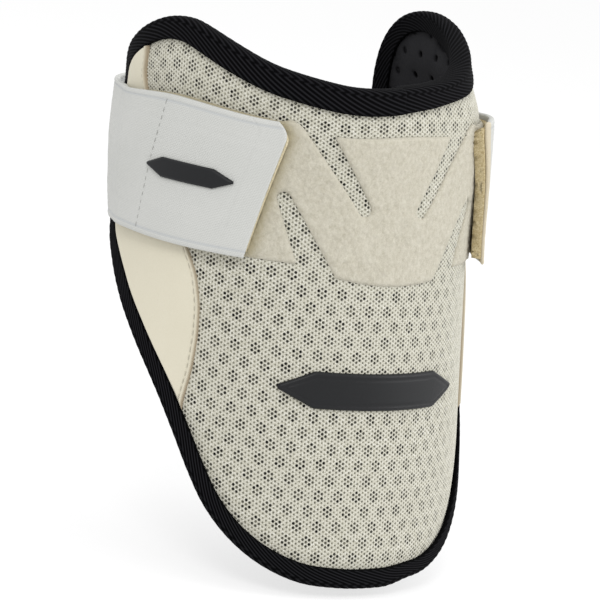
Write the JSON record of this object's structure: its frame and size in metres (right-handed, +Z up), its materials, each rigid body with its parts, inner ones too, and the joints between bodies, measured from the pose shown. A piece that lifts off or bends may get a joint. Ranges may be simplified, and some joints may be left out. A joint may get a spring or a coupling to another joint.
{
  "type": "baseball elbow guard",
  "caption": "Padded elbow guard with a net cover, vented foam lining, taped edge, slotted loop panel and a wide elastic strap fastened by hook tape on the front.",
  "frame": {"origin": "on the axis of the arm hollow, at half the width of the strap", "axes": "+Z up along the arm towards the wings, -Y out through the front of the guard, +X to the viewer's right when facing the front"},
  "size_m": [0.1472, 0.1558, 0.201],
  "materials": {
    "net": "off-white spacer net",
    "lining": "dark perforated foam with a knit face",
    "tape": "black ribbed binding tape",
    "side": "smooth cream fabric",
    "loop": "brushed loop fabric",
    "strap": "woven elastic",
    "hook": "tan hook tape",
    "badge": "moulded satin black"
  },
  "bodies": {
    "root": {"mesh_cover": "net", "foam_lining": "lining", "edge_binding": "tape", "side_panel_left": "side", "side_panel_right": "side", "loop_panel": "loop", "strap": "strap", "hook_tab_left": "hook", "hook_tab_right": "hook", "front_badge": "badge", "strap_badge": "badge"}
  },
  "joints": []
}
